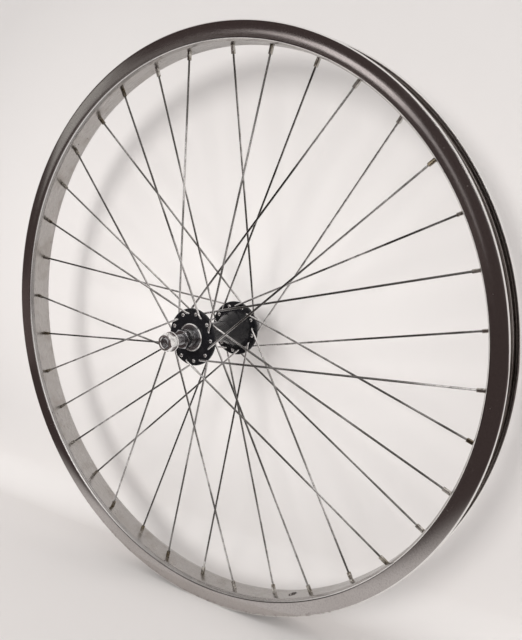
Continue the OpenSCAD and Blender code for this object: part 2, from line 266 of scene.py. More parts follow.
def ring(radius, z, count, turn=0.0):
    """A ring at a height. The radius is a number, or a function of the angle."""
    at = radius if callable(radius) else lambda angle: radius
    return [(*polar(at(360 * i / count), 360 * i / count + turn), z) for i in range(count)]


def rings_of(rows, count, turn=0.0):
    """One ring for each (radius, height)."""
    return [ring(radius, z, count, turn) for radius, z in rows]


def joined(name, parts):
    """One object from several (verts, faces) that don't touch."""
    verts, faces = [], []
    for part_verts, part_faces in parts:
        faces += [tuple(i + len(verts) for i in face) for face in part_faces]
        verts += part_verts
    return add_mesh(name, verts, faces)


def on_side(side, points):
    """From a frame with Z outwards along the axle to the row frame."""
    return [(x, -side * z, y) for x, y, z in points]


# ---- Placing spokes, as the part does ----------------------------------------------------------

def side_of(k):
    """The side whose flange holds a spoke."""
    return RIGHT if k % 2 else LEFT


def lay_of(k):
    """The face of the flange that a spoke's elbow lies on."""
    return OUTER if k % 4 in (0, 3) else INNER


class SpokeLine:
    """Where one spoke runs: its plane, its elbow and its straight part."""

    def __init__(self, k):
        self.side, lay = side_of(k), lay_of(k)
        at = FIRST_NIPPLE + k * STEP
        hole = Vector(polar(HOLE_CIRCLE_R, at - lay * LEAN * STEP))
        run = Vector(polar(WELL_R + FLOOR_T / 2, at)) - hole
        face = FLANGE_OUT if lay == OUTER else FLANGE_IN
        reach, rise = run.length - BEND_R, lay * (STAGGER - face)
        span = math.hypot(reach, rise)
        slope = round(math.degrees(math.atan2(rise, reach) - math.asin(BEND_R / span)), 2)
        self.turn = math.radians(90 - slope)
        self.length = math.sqrt(span ** 2 - BEND_R ** 2)
        along = run.normalized()
        x_axis = Vector((along.x, along.y, 0))
        z_axis = Vector((0, 0, lay))
        y_axis = Vector((-along.y, along.x, 0))
        self.base = Matrix((x_axis, y_axis, z_axis)).transposed()
        self.hole = Vector((hole.x, hole.y, face))

    def place(self, points):
        """From the spoke's own plane, with X to the nipple and Z over the elbow, to the row frame."""
        return on_side(self.side, [tuple(self.hole + self.base @ Vector(p)) for p in points])

    def past_bend(self, u, v, w):
        """A point beside the straight part: u and v across it, w along it from the end of the bend."""
        c, s = math.cos(self.turn), math.sin(self.turn)
        x, z = u - BEND_R, w
        return (BEND_R + x * c + z * s, v, -x * s + z * c)

    def at_nipple(self, points):
        """From a frame whose Z runs out along the spoke, with its origin in the rim's floor."""
        return self.place([self.past_bend(x, y, self.length + z) for x, y, z in points])


LINES = [SpokeLine(k) for k in range(SPOKES)]


# ---- Materials ---------------------------------------------------------------------------------

class Nodes:
    """Short ways to add nodes to a tree. Its coordinates are in metres."""

    def __init__(self, tree):
        self.tree = tree

    @cached_property
    def position(self):
        """The object's own coordinates: the row frame's at rest, and carried along by a joint."""
        return self.tree.nodes.new("ShaderNodeTexCoord").outputs["Object"]

    def fill(self, target, value):
        """Links an output to a socket, or sets the socket to a plain value."""
        if isinstance(value, bpy.types.NodeSocket):
            self.tree.links.new(value, target)
        else:
            target.default_value = value

    def math(self, operation, a, b=0.0, clamp=False):
        node = self.tree.nodes.new("ShaderNodeMath")
        node.operation = operation
        node.use_clamp = clamp
        self.fill(node.inputs[0], a)
        self.fill(node.inputs[1], b)
        return node.outputs[0]

    def product(self, first, *others):
        for other in others:
            first = self.math("MULTIPLY", first, other)
        return first

    def length(self, a, b):
        """The length of a vector from its two parts."""
        return self.math("SQRT", self.math("ADD", self.product(a, a), self.product(b, b)))

    def xyz(self):
        """The position's three parts."""
        apart = self.tree.nodes.new("ShaderNodeSeparateXYZ")
        self.tree.links.new(self.position, apart.inputs[0])
        return apart.outputs

    def from_axle(self):
        """How far along the axle, how high, and how far from the axle."""
        x, y, z = self.xyz()
        return y, z, self.length(x, z)

    def stretched(self, scale):
        """The position with each axis scaled."""
        node = self.tree.nodes.new("ShaderNodeMapping")
        node.inputs["Scale"].default_value = scale
        self.tree.links.new(self.position, node.inputs["Vector"])
        return node.outputs["Vector"]

    def around(self, along, across):
        """Coordinates that run round the axle: long streaks along, fine lines across."""
        x, y, z = self.xyz()
        flat = self.length(x, z)
        together = self.tree.nodes.new("ShaderNodeCombineXYZ")
        self.fill(together.inputs[0], self.product(self.math("DIVIDE", x, flat), along))
        self.fill(together.inputs[1], self.product(self.math("DIVIDE", z, flat), along))
        self.fill(together.inputs[2], self.product(self.math("ADD", flat, y), across))
        return together.outputs[0]

    def noise(self, scale, vector=None, detail=3.0, rough=0.55):
        """Soft noise, mostly between 0.3 and 0.7."""
        node = self.tree.nodes.new("ShaderNodeTexNoise")
        node.inputs["Scale"].default_value = scale
        node.inputs["Detail"].default_value = detail
        node.inputs["Roughness"].default_value = rough
        self.tree.links.new(vector or self.position, node.inputs["Vector"])
        return node.outputs["Fac"]

    def cells(self, scale):
        """The distance to the nearest of many scattered points."""
        node = self.tree.nodes.new("ShaderNodeTexVoronoi")
        node.inputs["Scale"].default_value = scale
        self.tree.links.new(self.position, node.inputs["Vector"])
        return node.outputs["Distance"]

    def ranged(self, value, low, high, to_low=0.0, to_high=1.0, kind="LINEAR"):
        """A value brought from one range to another, and held at its ends."""
        node = self.tree.nodes.new("ShaderNodeMapRange")
        node.interpolation_type = kind
        self.fill(node.inputs["Value"], value)
        ends = {"From Min": low, "From Max": high, "To Min": to_low, "To Max": to_high}
        for name, number in ends.items():
            node.inputs[name].default_value = number
        return node.outputs["Result"]

    def band(self, value, start, full, leave, end):
        """One from full to leave, and nothing before start and past end."""
        return self.product(self.ranged(value, start, full), self.ranged(value, end, leave))

    def blend(self, factor, a, b):
        """A colour between two colours, each plain or an output."""
        node = self.tree.nodes.new("ShaderNodeMix")
        node.data_type = "RGBA"
        self.fill(node.inputs["Factor"], factor)
        for socket, value in ((node.inputs["A"], a), (node.inputs["B"], b)):
            self.fill(socket, value if isinstance(value, bpy.types.NodeSocket) else (*value, 1))
        return node.outputs["Result"]

    def show(self, shader, output="Material Output"):
        """Leads a shader to the tree's output."""
        self.tree.links.new(shader.outputs[0], self.tree.nodes[output].inputs[0])

    def mixed(self, share, a, b):
        """Two shaders mixed: only a where the share is 0, and only b where it is 1."""
        node = self.tree.nodes.new("ShaderNodeMixShader")
        for target, source in zip(node.inputs, (share, a.outputs[0], b.outputs[0])):
            self.tree.links.new(source, target)
        return node


class Finish(Nodes):
    """A Principled material of one piece."""

    def __init__(self, name, colour, metallic, roughness, **sockets):
        self.material = bpy.data.materials.new(name)
        self.material.use_nodes = True
        super().__init__(self.material.node_tree)
        self.shader = self.tree.nodes["Principled BSDF"]
        self.set("Base Color", (*colour, 1))
        self.set("Metallic", metallic)
        self.set("Roughness", roughness)
        for socket, value in sockets.items():
            self.set(socket.replace("_", " "), value)

    def set(self, socket, value):
        self.shader.inputs[socket].default_value = value

    def feed(self, socket, output):
        self.tree.links.new(output, self.shader.inputs[socket])

    def bump(self, height, strength, distance):
        """Small relief of the surface from a height."""
        node = self.tree.nodes.new("ShaderNodeBump")
        node.inputs["Strength"].default_value = strength
        node.inputs["Distance"].default_value = distance
        self.tree.links.new(height, node.inputs["Height"])
        self.feed("Normal", node.outputs["Normal"])


# Of these tones, the foot corner and lip ones are painted highlights, and the foot crease and tyre bed ones
# painted shade
RIM_TONES = {
    "base": (0.48, 0.455, 0.44), "clear": (0.52, 0.49, 0.475), "hazy": (0.44, 0.41, 0.392),
    "inner": (0.425, 0.415, 0.405), "mottle": (0.30, 0.28, 0.27), "scuff": (0.66, 0.64, 0.62),
    "stain": (0.26, 0.235, 0.205), "corner": (0.92, 0.91, 0.90), "crease_shade": (0.035, 0.028, 0.024),
    "edge_mottle": (0.16, 0.125, 0.12), "channel_shade": (0.13, 0.11, 0.10), "lip": (0.90, 0.885, 0.87),
    "speck": (0.07, 0.055, 0.05)}
# Heights above the rim's foot and distances from its middle plane at which its looks change
WALL_UP = EDGE_R - FOOT_R
# The foot crease, where painted shade darkens the rim, most towards the bottom
CREASE_BAND = (0.1 * MM, 0.3 * MM, 1.0 * MM, 1.2 * MM)
CREASE_SIDE = (13.3 * MM, 13.6 * MM)
# The painted highlight along the foot corner
FOOT_HIGHLIGHT_UP, FOOT_HIGHLIGHT_SIDE = (0.4 * MM, 0.0), (13.0 * MM, 13.5 * MM)
# Where the top of the wall turns darker towards the bottom
EDGE_UP = ((WALL_UP - 4.5) * MM, (WALL_UP - 0.5) * MM)
# The painted highlight along the lips
LIP_HIGHLIGHT_UP = ((WALL_UP - 1.5) * MM, (WALL_UP - 0.9) * MM)
# The painted shade inside the tyre bed
CHANNEL_SHADE_UP = (0.6 * MM, 1.2 * MM)
CHANNEL_SHADE_SIDE = ((RIM_W / 2 - LIP_T + 0.15) * MM, (RIM_W / 2 - LIP_T - 0.15) * MM)
# Heights of the row, in metres, over which the painted shade in the foot crease comes in, the painted
# highlight at the foot corner goes out, and the top of the wall turns darker, all towards the bottom
CREASE_SHADE_LOW, FOOT_HIGHLIGHT_LOW, EDGE_DARK_LOW = (-0.20, -0.245), (-0.258, -0.225), (-0.20, -0.25)


def rim_finish():
    """Polished aluminium: faint drawn lines, haze, scuffs and dark specks, with painted shade in its foot
    crease and tyre bed, painted highlights along its lips and foot corner, and the top of its wall darker
    towards the bottom.
    """
    tones = RIM_TONES
    f = Finish("rim_polish", tones["base"], 1.0, 0.12)
    y, z, flat = f.from_axle()
    up, side = f.math("SUBTRACT", flat, FOOT_R * MM), f.math("ABSOLUTE", y)
    inner = f.ranged(up, 0.3 * MM, -0.1 * MM)
    lines = f.noise(1.0, f.around(14.0, 2600.0), detail=2.0)
    haze = f.noise(7.0, detail=4.0)
    scuffs = f.ranged(f.noise(1.0, f.stretched((260.0, 900.0, 90.0)), detail=2.0), 0.68, 0.74)
    specks = f.product(f.ranged(f.cells(150.0), 0.12, 0.08),
                       f.ranged(f.noise(24.0, detail=2.0), 0.54, 0.62))
    mottle = f.ranged(f.noise(650.0, detail=3.0), 0.45, 0.70, 0.0, 0.35)
    stain = f.ranged(f.noise(48.0, detail=4.0, rough=0.6), 0.50, 0.70, 0.0, 0.42)
    # Painted shade in the foot crease, strongest towards the bottom
    crease_shade = f.product(f.ranged(f.noise(30.0, detail=3.0), 0.30, 0.60, 0.60, 0.98),
                     f.ranged(z, *CREASE_SHADE_LOW, 0.2, 1.0))
    crease = f.product(f.band(up, *CREASE_BAND), f.ranged(side, *CREASE_SIDE))
    # A painted highlight along the foot corner, all round but the bottom
    corner = f.product(f.ranged(side, *FOOT_HIGHLIGHT_SIDE), f.ranged(up, *FOOT_HIGHLIGHT_UP),
                       f.ranged(z, *FOOT_HIGHLIGHT_LOW))
    # A darker mottle on the top of the wall; worn only grows towards the bottom, with a little noise
    edge_mottle = f.ranged(f.noise(360.0, detail=5.0, rough=0.7), 0.50, 0.62, 0.0, 0.7)
    worn = f.math("ADD", f.ranged(f.noise(6.0, detail=2.0), 0.58, 0.72, 0.0, 0.12),
                  f.ranged(z, *EDGE_DARK_LOW), clamp=True)
    # Painted shade on the inner faces of the tyre bed
    channel_shade = f.product(f.ranged(up, *CHANNEL_SHADE_UP), f.ranged(side, *CHANNEL_SHADE_SIDE))
    # A painted highlight along the lips, broken by the darker mottle towards the bottom
    lip = f.product(f.ranged(up, *LIP_HIGHLIGHT_UP), f.math("SUBTRACT", 1.0, f.product(worn, edge_mottle)))

    metal = f.blend(f.ranged(haze, 0.3, 0.7), tones["clear"], tones["hazy"])
    layers = {
        "inner": f.product(inner, 0.75), "mottle": mottle, "scuff": f.product(scuffs, 0.35),
        "stain": f.product(inner, stain), "corner": corner, "crease_shade": f.product(crease, crease_shade),
        "edge_mottle": f.product(f.ranged(up, *EDGE_UP), worn, edge_mottle), "channel_shade": f.product(channel_shade, 0.9),
        "lip": lip, "speck": f.product(specks, 0.85)}
    for tone, share in layers.items():
        metal = f.blend(share, metal, tones[tone])
    f.feed("Base Color", metal)
    rough = f.math("ADD", f.ranged(haze, 0.25, 0.75, 0.07, 0.15), f.ranged(lines, 0.3, 0.7, -0.02, 0.03))
    rough = f.math("ADD", rough, f.product(inner, 0.16))
    f.feed("Roughness", f.math("ADD", rough, f.product(specks, 0.35)))
    f.bump(f.math("ADD", lines, f.product(scuffs, 0.5)), 0.03, 0.06 * MM)
    return f.material


# Distances from the axle, in metres, between which a spoke loses its stain and turns bare and bright, the
# brightness a painted highlight
CLEAN_AND_HIGHLIGHT_NEAR_HUB = (0.055, 0.026)


def spoke_finish():
    """Zinc-plated wire, with less stain and a painted highlight near the hub, and greyed and stained brown
    in patches farther out.
    """
    f = Finish("spoke_steel", (0.34, 0.325, 0.305), 1.0, 0.26)
    grime = f.noise(140.0, detail=5.0, rough=0.65)
    long_stain = f.noise(9.0, detail=2.0)
    clean_and_highlight = f.ranged(f.from_axle()[2], *CLEAN_AND_HIGHLIGHT_NEAR_HUB)
    plate = f.blend(f.ranged(long_stain, 0.40, 0.53), (0.72, 0.71, 0.70), (0.17, 0.165, 0.16))
    # The plate turns brighter near the hub: a painted highlight, as well as less stain
    plate = f.blend(clean_and_highlight, plate, (0.86, 0.85, 0.84))
    stain = f.product(f.ranged(grime, 0.44, 0.72, 0.0, 0.85), f.ranged(clean_and_highlight, 0.0, 1.0, 1.0, 0.15))
    f.feed("Base Color", f.blend(stain, plate, (0.055, 0.047, 0.040)))
    f.feed("Roughness", f.ranged(grime, 0.3, 0.7, 0.10, 0.30))
    f.bump(grime, 0.25, 0.08 * MM)
    return f.material


def nipple_finish():
    """Nickel-plated brass that has gone dull and dark, with brass showing in places."""
    f = Finish("nipple_nickel", (0.34, 0.30, 0.23), 1.0, 0.24)
    tarnish = f.noise(260.0, detail=4.0, rough=0.6)
    brass = f.noise(60.0, detail=2.0)
    plate = f.blend(f.ranged(brass, 0.45, 0.62), (0.62, 0.60, 0.56), (0.22, 0.185, 0.13))
    f.feed("Base Color", f.blend(f.ranged(tarnish, 0.46, 0.64, 0.0, 0.86), plate, (0.060, 0.042, 0.028)))
    f.feed("Roughness", f.ranged(tarnish, 0.3, 0.7, 0.08, 0.28))
    f.bump(tarnish, 0.2, 0.08 * MM)
    return f.material


# The part of each boss whose black is worn away, as distances along the axle and from it
BARE_ALONG = ((BOSS_TOP - 0.9) * MM, (BOSS_TOP - 0.6) * MM)
BARE_OUT = ((BOSS_R - 1.9) * MM, (BOSS_R - 1.4) * MM)


def hub_finish():
    """Glossy black aluminium with a little dust, fine turning lines and a bare, worn boss edge."""
    f = Finish("hub_black", (0.012, 0.012, 0.014), 0.0, 0.20, Coat_Weight=0.15, Coat_Roughness=0.05,
               Specular_IOR_Level=0.28)
    y, _, flat = f.from_axle()
    lines = f.noise(1.0, f.around(3.0, 5200.0), detail=1.0)
    dust = f.noise(95.0, detail=4.0, rough=0.6)
    lip = f.product(f.ranged(f.math("ABSOLUTE", y), *BARE_ALONG), f.ranged(flat, *BARE_OUT))
    bare = f.product(lip, f.ranged(f.noise(120.0, detail=3.0), 0.30, 0.42))
    black = f.blend(f.ranged(dust, 0.54, 0.78, 0.0, 0.30), (0.009, 0.009, 0.011), (0.040, 0.038, 0.038))
    f.feed("Base Color", f.blend(bare, black, (0.90, 0.89, 0.88)))
    f.feed("Metallic", bare)
    rough = f.math("ADD", f.ranged(dust, 0.3, 0.7, 0.14, 0.26), f.ranged(lines, 0.3, 0.7, -0.02, 0.03))
    f.feed("Roughness", rough)
    f.bump(lines, 0.06, 0.1 * MM)
    return f.material


def turned_finish(name, colour, stain, roughness):
    """Turned or plated steel: faint lines around the axle and a stain in patches."""
    f = Finish(name, colour, 1.0, roughness)
    lines = f.noise(1.0, f.around(4.0, 2600.0), detail=1.0)
    spots = f.noise(330.0, detail=4.0, rough=0.6)
    f.feed("Base Color", f.blend(f.ranged(spots, 0.50, 0.75, 0.0, 0.3), colour, stain))
    rough = f.ranged(spots, 0.3, 0.7, roughness - 0.04, roughness + 0.05)
    f.feed("Roughness", f.math("ADD", rough, f.ranged(lines, 0.3, 0.7, -0.03, 0.04)))
    f.bump(lines, 0.03, 0.05 * MM)
    return f.material


# The material of each slot
FINISHES = {
    "rim_polish": rim_finish(),
    "spoke_steel": spoke_finish(),
    "nipple_nickel": nipple_finish(),
    "hub_black": hub_finish(),
    "bearing_steel": turned_finish("bearing_steel", (0.62, 0.62, 0.62), (0.30, 0.22, 0.12), 0.20),
    "dark_steel": turned_finish("dark_steel", (0.44, 0.44, 0.45), (0.22, 0.215, 0.21), 0.18),
    "zinc_plate": turned_finish("zinc_plate", (0.90, 0.90, 0.895), (0.70, 0.69, 0.68), 0.11)}


# ---- Rim ---------------------------------------------------------------------------------------

def rim_half_outline():
    """The rim's section from the middle of its inner face, round the side wall, back to the floor."""
    edge_w, lip_r = RIM_W / 2, LIP_T / 2
    inner_w, top_r = edge_w - WALL_T, EDGE_R - LIP_T / 2
    ledge_in = inner_w - LEDGE_W

    def wall(t):
        """A point of the wall's outer face, from its foot at 0 to its top at 1."""
        bow = 4 * WALL_BOW * t * (1 - t)
        return FOOT_R + t * (top_r - FOOT_R), (FOOT_W + t * (RIM_W - FOOT_W)) / 2 + bow

    facet = [(WELL_R, w) for w in (1.5, 4.0, 7.0)]
    facet += filleted([
        (WELL_R, 7.0, 0), (WELL_R, FLOOR_W / 2, 1.2), (FOOT_R - 0.1, FOOT_W / 2 - 0.1, 0)])[1:-1]
    foot = [(FOOT_R - 0.12, FOOT_W / 2 - 0.35), (FOOT_R + 0.08, FOOT_W / 2 - 0.06), wall(0.025)]
    groove_r, groove_w = wall(0.04)
    foot += [(groove_r, groove_w - GROOVE), wall(SIDE_FROM)]
    side = [wall(SIDE_FROM + (1 - SIDE_FROM) * i / SIDE_STEPS) for i in range(1, SIDE_STEPS)]
    lip = arc((top_r, edge_w - lip_r), lip_r, 86, -90, 14)
    hook = filleted([
        (top_r, edge_w - LIP_T, 0), (EDGE_R - LIP_T, edge_w - LIP_T, 0.3),
        (EDGE_R - LIP_T - 0.8, inner_w, 0.4), (LEDGE_R, inner_w, 0.6), (LEDGE_R, ledge_in, 0.5),
        (WELL_R + FLOOR_T, ledge_in - 1.5, 1.5), (WELL_R + FLOOR_T, 6.0, 0)])[1:-1]
    floor = [(WELL_R + FLOOR_T, w) for w in (6.0, 3.5, 1.5)]
    return facet + foot + side + lip + hook + floor


def nipple_hole():
    """The hole and the sunk seat of one nipple, along the spoke."""
    hole_r, seat_r = NIPPLE_R + NIPPLE_CLEAR, NIPPLE_HEAD_R + NIPPLE_CLEAR
    rows = [(hole_r, -FLOOR_T - 1), (hole_r, SEAT_UP - 0.4), (hole_r + 0.4, SEAT_UP),
            (seat_r, SEAT_UP), (seat_r + 0.1, SEAT_UP + FLOOR_T)]
    return stacked(rings_of(rows, NIPPLE_HOLE_SIDES))


def valve_hole():
    """The hole of the valve through the rim's floor, with its edges broken."""
    across = Matrix.Rotation(math.radians(VALVE_AT), 3, "Z") @ Matrix.Rotation(math.radians(90), 3, "Y")
    rows = [(VALVE_R + 1.2, WELL_R - 1.0), (VALVE_R, WELL_R + 0.2), (VALVE_R, WELL_R + FLOOR_T - 0.2),
            (VALVE_R + 1.2, WELL_R + FLOOR_T + 1.0)]
    verts, faces = stacked(rings_of(rows, VALVE_SIDES))
    return on_side(RIGHT, [tuple(across @ Vector(p)) for p in verts]), faces


def make_rim():
    """The extruded rim, turned from its section, with its nipple holes and its valve hole."""
    half = rim_half_outline()
    verts, faces = revolved(half + [(r, -w) for r, w in reversed(half)], RIM_SIDES)
    rim = add_mesh("rim_profile", on_side(RIGHT, verts), faces)
    verts, faces = nipple_hole()
    holes = [(line.at_nipple(verts), faces) for line in LINES] + [valve_hole()]
    smooth(cut(rim, joined("rim_cutter", holes)))
    return piece(rim, "wheel", "rim_polish", "rim")


# ---- Spokes and nipples ------------------------------------------------------------------------

def spoke_rings(line):
    """The headed wire as rings: domed head, shank through the flange, bend and straight part."""
    head_z = -FLANGE_T - HEAD_T
    dome = ((0.05, 0.0), (0.45, 0.04), (0.78, 0.2), (0.95, 0.5), (1.0, 0.8), (0.97, 1.0))
    rows = [(r * HEAD_R, head_z + h * HEAD_T) for r, h in dome]
    rows += [(SPOKE_R, -FLANGE_T), (SPOKE_R, -FLANGE_T / 2), (SPOKE_R, 0.0)]
    rings = rings_of(rows, SPOKE_SIDES)
    circle = [(x, y) for x, y, _ in rings[-1]]
    for i in range(1, BEND_STEPS + 1):
        t = line.turn * i / BEND_STEPS
        rings.append([(BEND_R + (x - BEND_R) * math.cos(t), y, -(x - BEND_R) * math.sin(t))
                      for x, y in circle])
    end = line.length + SPOKE_END
    for w in [end * i / WIRE_STEPS for i in range(1, WIRE_STEPS)] + [end - 0.15]:
        rings.append([line.past_bend(x, y, w) for x, y in circle])
    rings.append([line.past_bend(x * 0.8, y * 0.8, end) for x, y in circle])
    return rings


def make_spokes(side_name, lay_name):
    """The spokes of one side whose elbows lie on one face of its flange."""
    wanted = SIDES[side_name], OUTER if lay_name == "outer" else INNER
    parts = []
    for k, line in enumerate(LINES):
        if (side_of(k), lay_of(k)) == wanted:
            verts, faces = stacked(spoke_rings(line))
            parts.append((line.place(verts), faces))
    name = f"spokes_{side_name}_{lay_name}"
    return piece(smooth(joined(name + "_wire", parts), angle=40), "wheel", "spoke_steel", name)


def nipple_template():
    """One nipple around Z: square flats, shoulder, round barrel, domed head with its slot."""
    bottom, top, dome = SEAT_UP - NIPPLE_L, SEAT_UP + NIPPLE_HEAD_H, SEAT_UP + 1.0

    def squared(flat):
        def radius(angle):
            turn = math.radians(angle)
            return min(NIPPLE_R, flat / max(abs(math.cos(turn)), abs(math.sin(turn))))
        return radius

    rows = [(1.15, bottom + 0.1), (1.35, bottom), (squared(NIPPLE_FLAT - 0.2), bottom + 0.08),
            (squared(NIPPLE_FLAT), bottom + 0.35), (squared(NIPPLE_FLAT), bottom + NIPPLE_FLATS_L),
            (NIPPLE_R, bottom + NIPPLE_FLATS_L + 0.45), (NIPPLE_R, SEAT_UP - 0.35),
            (NIPPLE_R + 0.35, SEAT_UP), (NIPPLE_HEAD_R - 0.1, SEAT_UP + 0.02),
            (NIPPLE_HEAD_R, SEAT_UP + 0.12), (NIPPLE_HEAD_R, dome)]
    rise = top - SEAT_UP - 1.0
    for angle in (20, 38, 55, 70, 84):
        t = math.radians(angle)
        rows.append((NIPPLE_HEAD_R * math.cos(t) ** 0.7, dome + rise * math.sin(t)))
    rows.append((0.3, top))
    head = add_mesh("nipple_template", *stacked(rings_of(rows, NIPPLE_SIDES)), scale=1.0)
    slot = [(x, y, z) for z in (top - SLOT_DEPTH, top + 1)
            for x, y in ((-4, -SLOT_W / 2), (4, -SLOT_W / 2), (4, SLOT_W / 2), (-4, SLOT_W / 2))]
    sides = [(0, 1, 5, 4), (1, 2, 6, 5), (2, 3, 7, 6), (3, 0, 4, 7), (3, 2, 1, 0), (4, 5, 6, 7)]
    cut(head, add_mesh("nipple_slot", slot, sides, scale=1.0))
    shape = ([tuple(v.co) for v in head.data.vertices], [tuple(p.vertices) for p in head.data.polygons])
    bpy.data.objects.remove(head)
    return shape


def make_nipples(side_name, template):
    """The nipples of one side, as copies of the template."""
    verts, faces = template
    parts = [(line.at_nipple(verts), faces) for line in LINES if line.side == SIDES[side_name]]
    name = f"nipples_{side_name}"
    return piece(smooth(joined(name + "_turned", parts), angle=30), "wheel", "nipple_nickel", name)


# ---- Hub shell ---------------------------------------------------------------------------------

def make_hub_shell():
    """The barrel with its two flanges and bosses, bored through and drilled for the spokes."""
    edge = HUB_EDGE
    half = [
        (BARREL_R, BARREL_END, 5), (FLARE_R, FLANGE_IN, 1.0), (FLANGE_R - edge, FLANGE_IN, 0.3),
        (FLANGE_R, FLANGE_IN + edge, 0.8), (FLANGE_R, FLANGE_OUT - edge, 0.8),
        (FLANGE_R - edge, FLANGE_OUT, 0.3), (BOSS_R, FLANGE_OUT, 0.5), (BOSS_R, BOSS_TOP - edge, 0.25),
        (BOSS_R - edge, BOSS_TOP, 0.25), (CUP_R, BOSS_TOP, 0.1), (CUP_R, CUP_FLOOR, 0),
        (BARREL_BORE_R, CUP_FLOOR, 0)]
    outline = filleted(half + [(r, -h, f) for r, h, f in reversed(half)], parts=5)
    verts, faces = revolved(outline, SHELL_SIDES)
    shell = add_mesh("hub_shell_turned", on_side(RIGHT, verts), faces)
    wide = SPOKE_HOLE_R + 1.35
    rows = [(wide, -FLANGE_T - 1), (SPOKE_HOLE_R, -FLANGE_T + 0.35), (SPOKE_HOLE_R, -0.35), (wide, 1.0)]
    verts, faces = stacked(rings_of(rows, SPOKE_HOLE_SIDES))
    smooth(cut(shell, joined("shell_cutter", [(line.place(verts), faces) for line in LINES])))
    return piece(shell, "wheel", "hub_black", "hub_shell")


def make_dust_cap(side_name):
    """The pressed cap in the boss, with a rim that stands above its web."""
    web, inside, hole = CAP_TOP - CAP_STEP, CUP_R - 0.7, CONE_R + 0.3
    outline = filleted([
        (inside, CAP_MOUTH, 0), (CUP_R, CAP_MOUTH, 0), (CUP_R, CAP_TOP, 0.25), (CUP_R - 1, CAP_TOP, 0.25),
        (CUP_R - 1.4, web, 0.3), (hole, web, 0.15), (hole, web - 1, 0), (inside, web - 1, 0)])
    verts, faces = revolved(outline, CAP_SIDES)
    name = f"dust_cap_{side_name}"
    cap = smooth(add_mesh(name + "_pressed", on_side(SIDES[side_name], verts), faces))
    return piece(cap, "wheel", "dark_steel", name)


# ---- Axle, cones, washers and nuts -------------------------------------------------------------

def make_axle():
    """A solid axle with its thread, as a sheared grid whose rows follow the helix."""
    count, root_r = AXLE_SIDES, AXLE_R - THREAD_DEPTH
    profile = [(root_r, 0.0), (root_r, 0.12), (AXLE_R, 0.46), (AXLE_R, 0.60), (root_r, 0.94)]
    turns = range(int(-AXLE_HALF / PITCH) - 2, int(AXLE_HALF / PITCH) + 2)
    rows = [(r, (t + share) * PITCH) for t in turns for r, share in profile]

    def point(r, z, i):
        z = max(-AXLE_HALF, min(AXLE_HALF, z + PITCH * i / count))
        r = min(r, AXLE_END_R + (AXLE_HALF - abs(z)))
        return (*polar(r, 360 * i / count), z)

    verts = on_side(RIGHT, [point(r, z, i) for r, z in rows for i in range(count + 1)])
    faces = skin(len(rows), count + 1, row_closes=False)
    for end in (-1, 1):
        first = len(verts)
        dimple = [(AXLE_END_R, end * AXLE_HALF)] + [(r, end * (AXLE_HALF - d)) for r, d in DIMPLE]
        rings = rings_of(dimple, count)
        verts += on_side(RIGHT, [p for one in rings for p in one])
        faces += skin(len(rings), count, first=first)
        faces.append(tuple(range(len(verts) - count, len(verts))))
    axle = add_mesh("axle_threaded", verts, faces)
    bm = bmesh.new()
    bm.from_mesh(axle.data)
    bmesh.ops.remove_doubles(bm, verts=bm.verts, dist=0.02 * MM)
    bmesh.ops.dissolve_degenerate(bm, edges=bm.edges, dist=0.002 * MM)
    bmesh.ops.recalc_face_normals(bm, faces=bm.faces)
    bm.to_mesh(axle.data)
    bm.free()
    return piece(smooth(axle, angle=28), "axle_set", "dark_steel", "axle")


def make_cone(side_name):
    """The cone's body: its track, its round part and its two spanner flats."""
    def on_track(r):
        return r, r - CONE_TRACK - 3.0

    def flatted(angle):
        return min(CONE_R - 0.02, CONE_FLAT / max(abs(math.cos(math.radians(angle))), 0.01))

    flats_at = CONE_OUT - CONE_FLATS_L
    rows = [on_track(AXLE_R + 0.3), on_track(CONE_R - 1.8), on_track(CONE_R), (CONE_R, flats_at - 0.15),
            (CONE_R - 0.15, flats_at), (flatted, flats_at + 0.02), (flatted, CONE_OUT - 0.25),
            (lambda angle: flatted(angle) - 0.25, CONE_OUT)]
    bore = [(AXLE_R, CONE_OUT), (AXLE_R, rows[0][1])]
    verts, faces = stacked(rings_of(rows, TURNED_SIDES), rings_of(bore, TURNED_SIDES))
    name = f"cone_{side_name}"
    cone = smooth(add_mesh(name + "_turned", on_side(SIDES[side_name], verts), faces))
    return piece(cone, "axle_set", "dark_steel", name)


def along_axle(node):
    """The side that a CAD node is on, and how far out it starts and ends, in millimetres."""
    lo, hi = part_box(node)
    return (RIGHT if hi.y < 0 else LEFT, *sorted((abs(lo.y) / MM, abs(hi.y) / MM)))


def make_washer(node, body, slot_name):
    """A flat washer with its edges broken, sized from its CAD node."""
    side, near, far = along_axle(node)
    inner, outer, edge = AXLE_R + 0.3, reach_mm(node), min(0.25, (far - near) / 4)
    outline = filleted([
        (inner, near, edge), (outer, near, edge), (outer, far, edge), (inner, far, edge)])
    verts, faces = revolved(outline, TURNED_SIDES)
    washer = smooth(add_mesh(node + "_stamped", on_side(side, verts), faces))
    return piece(washer, body, slot_name, node)


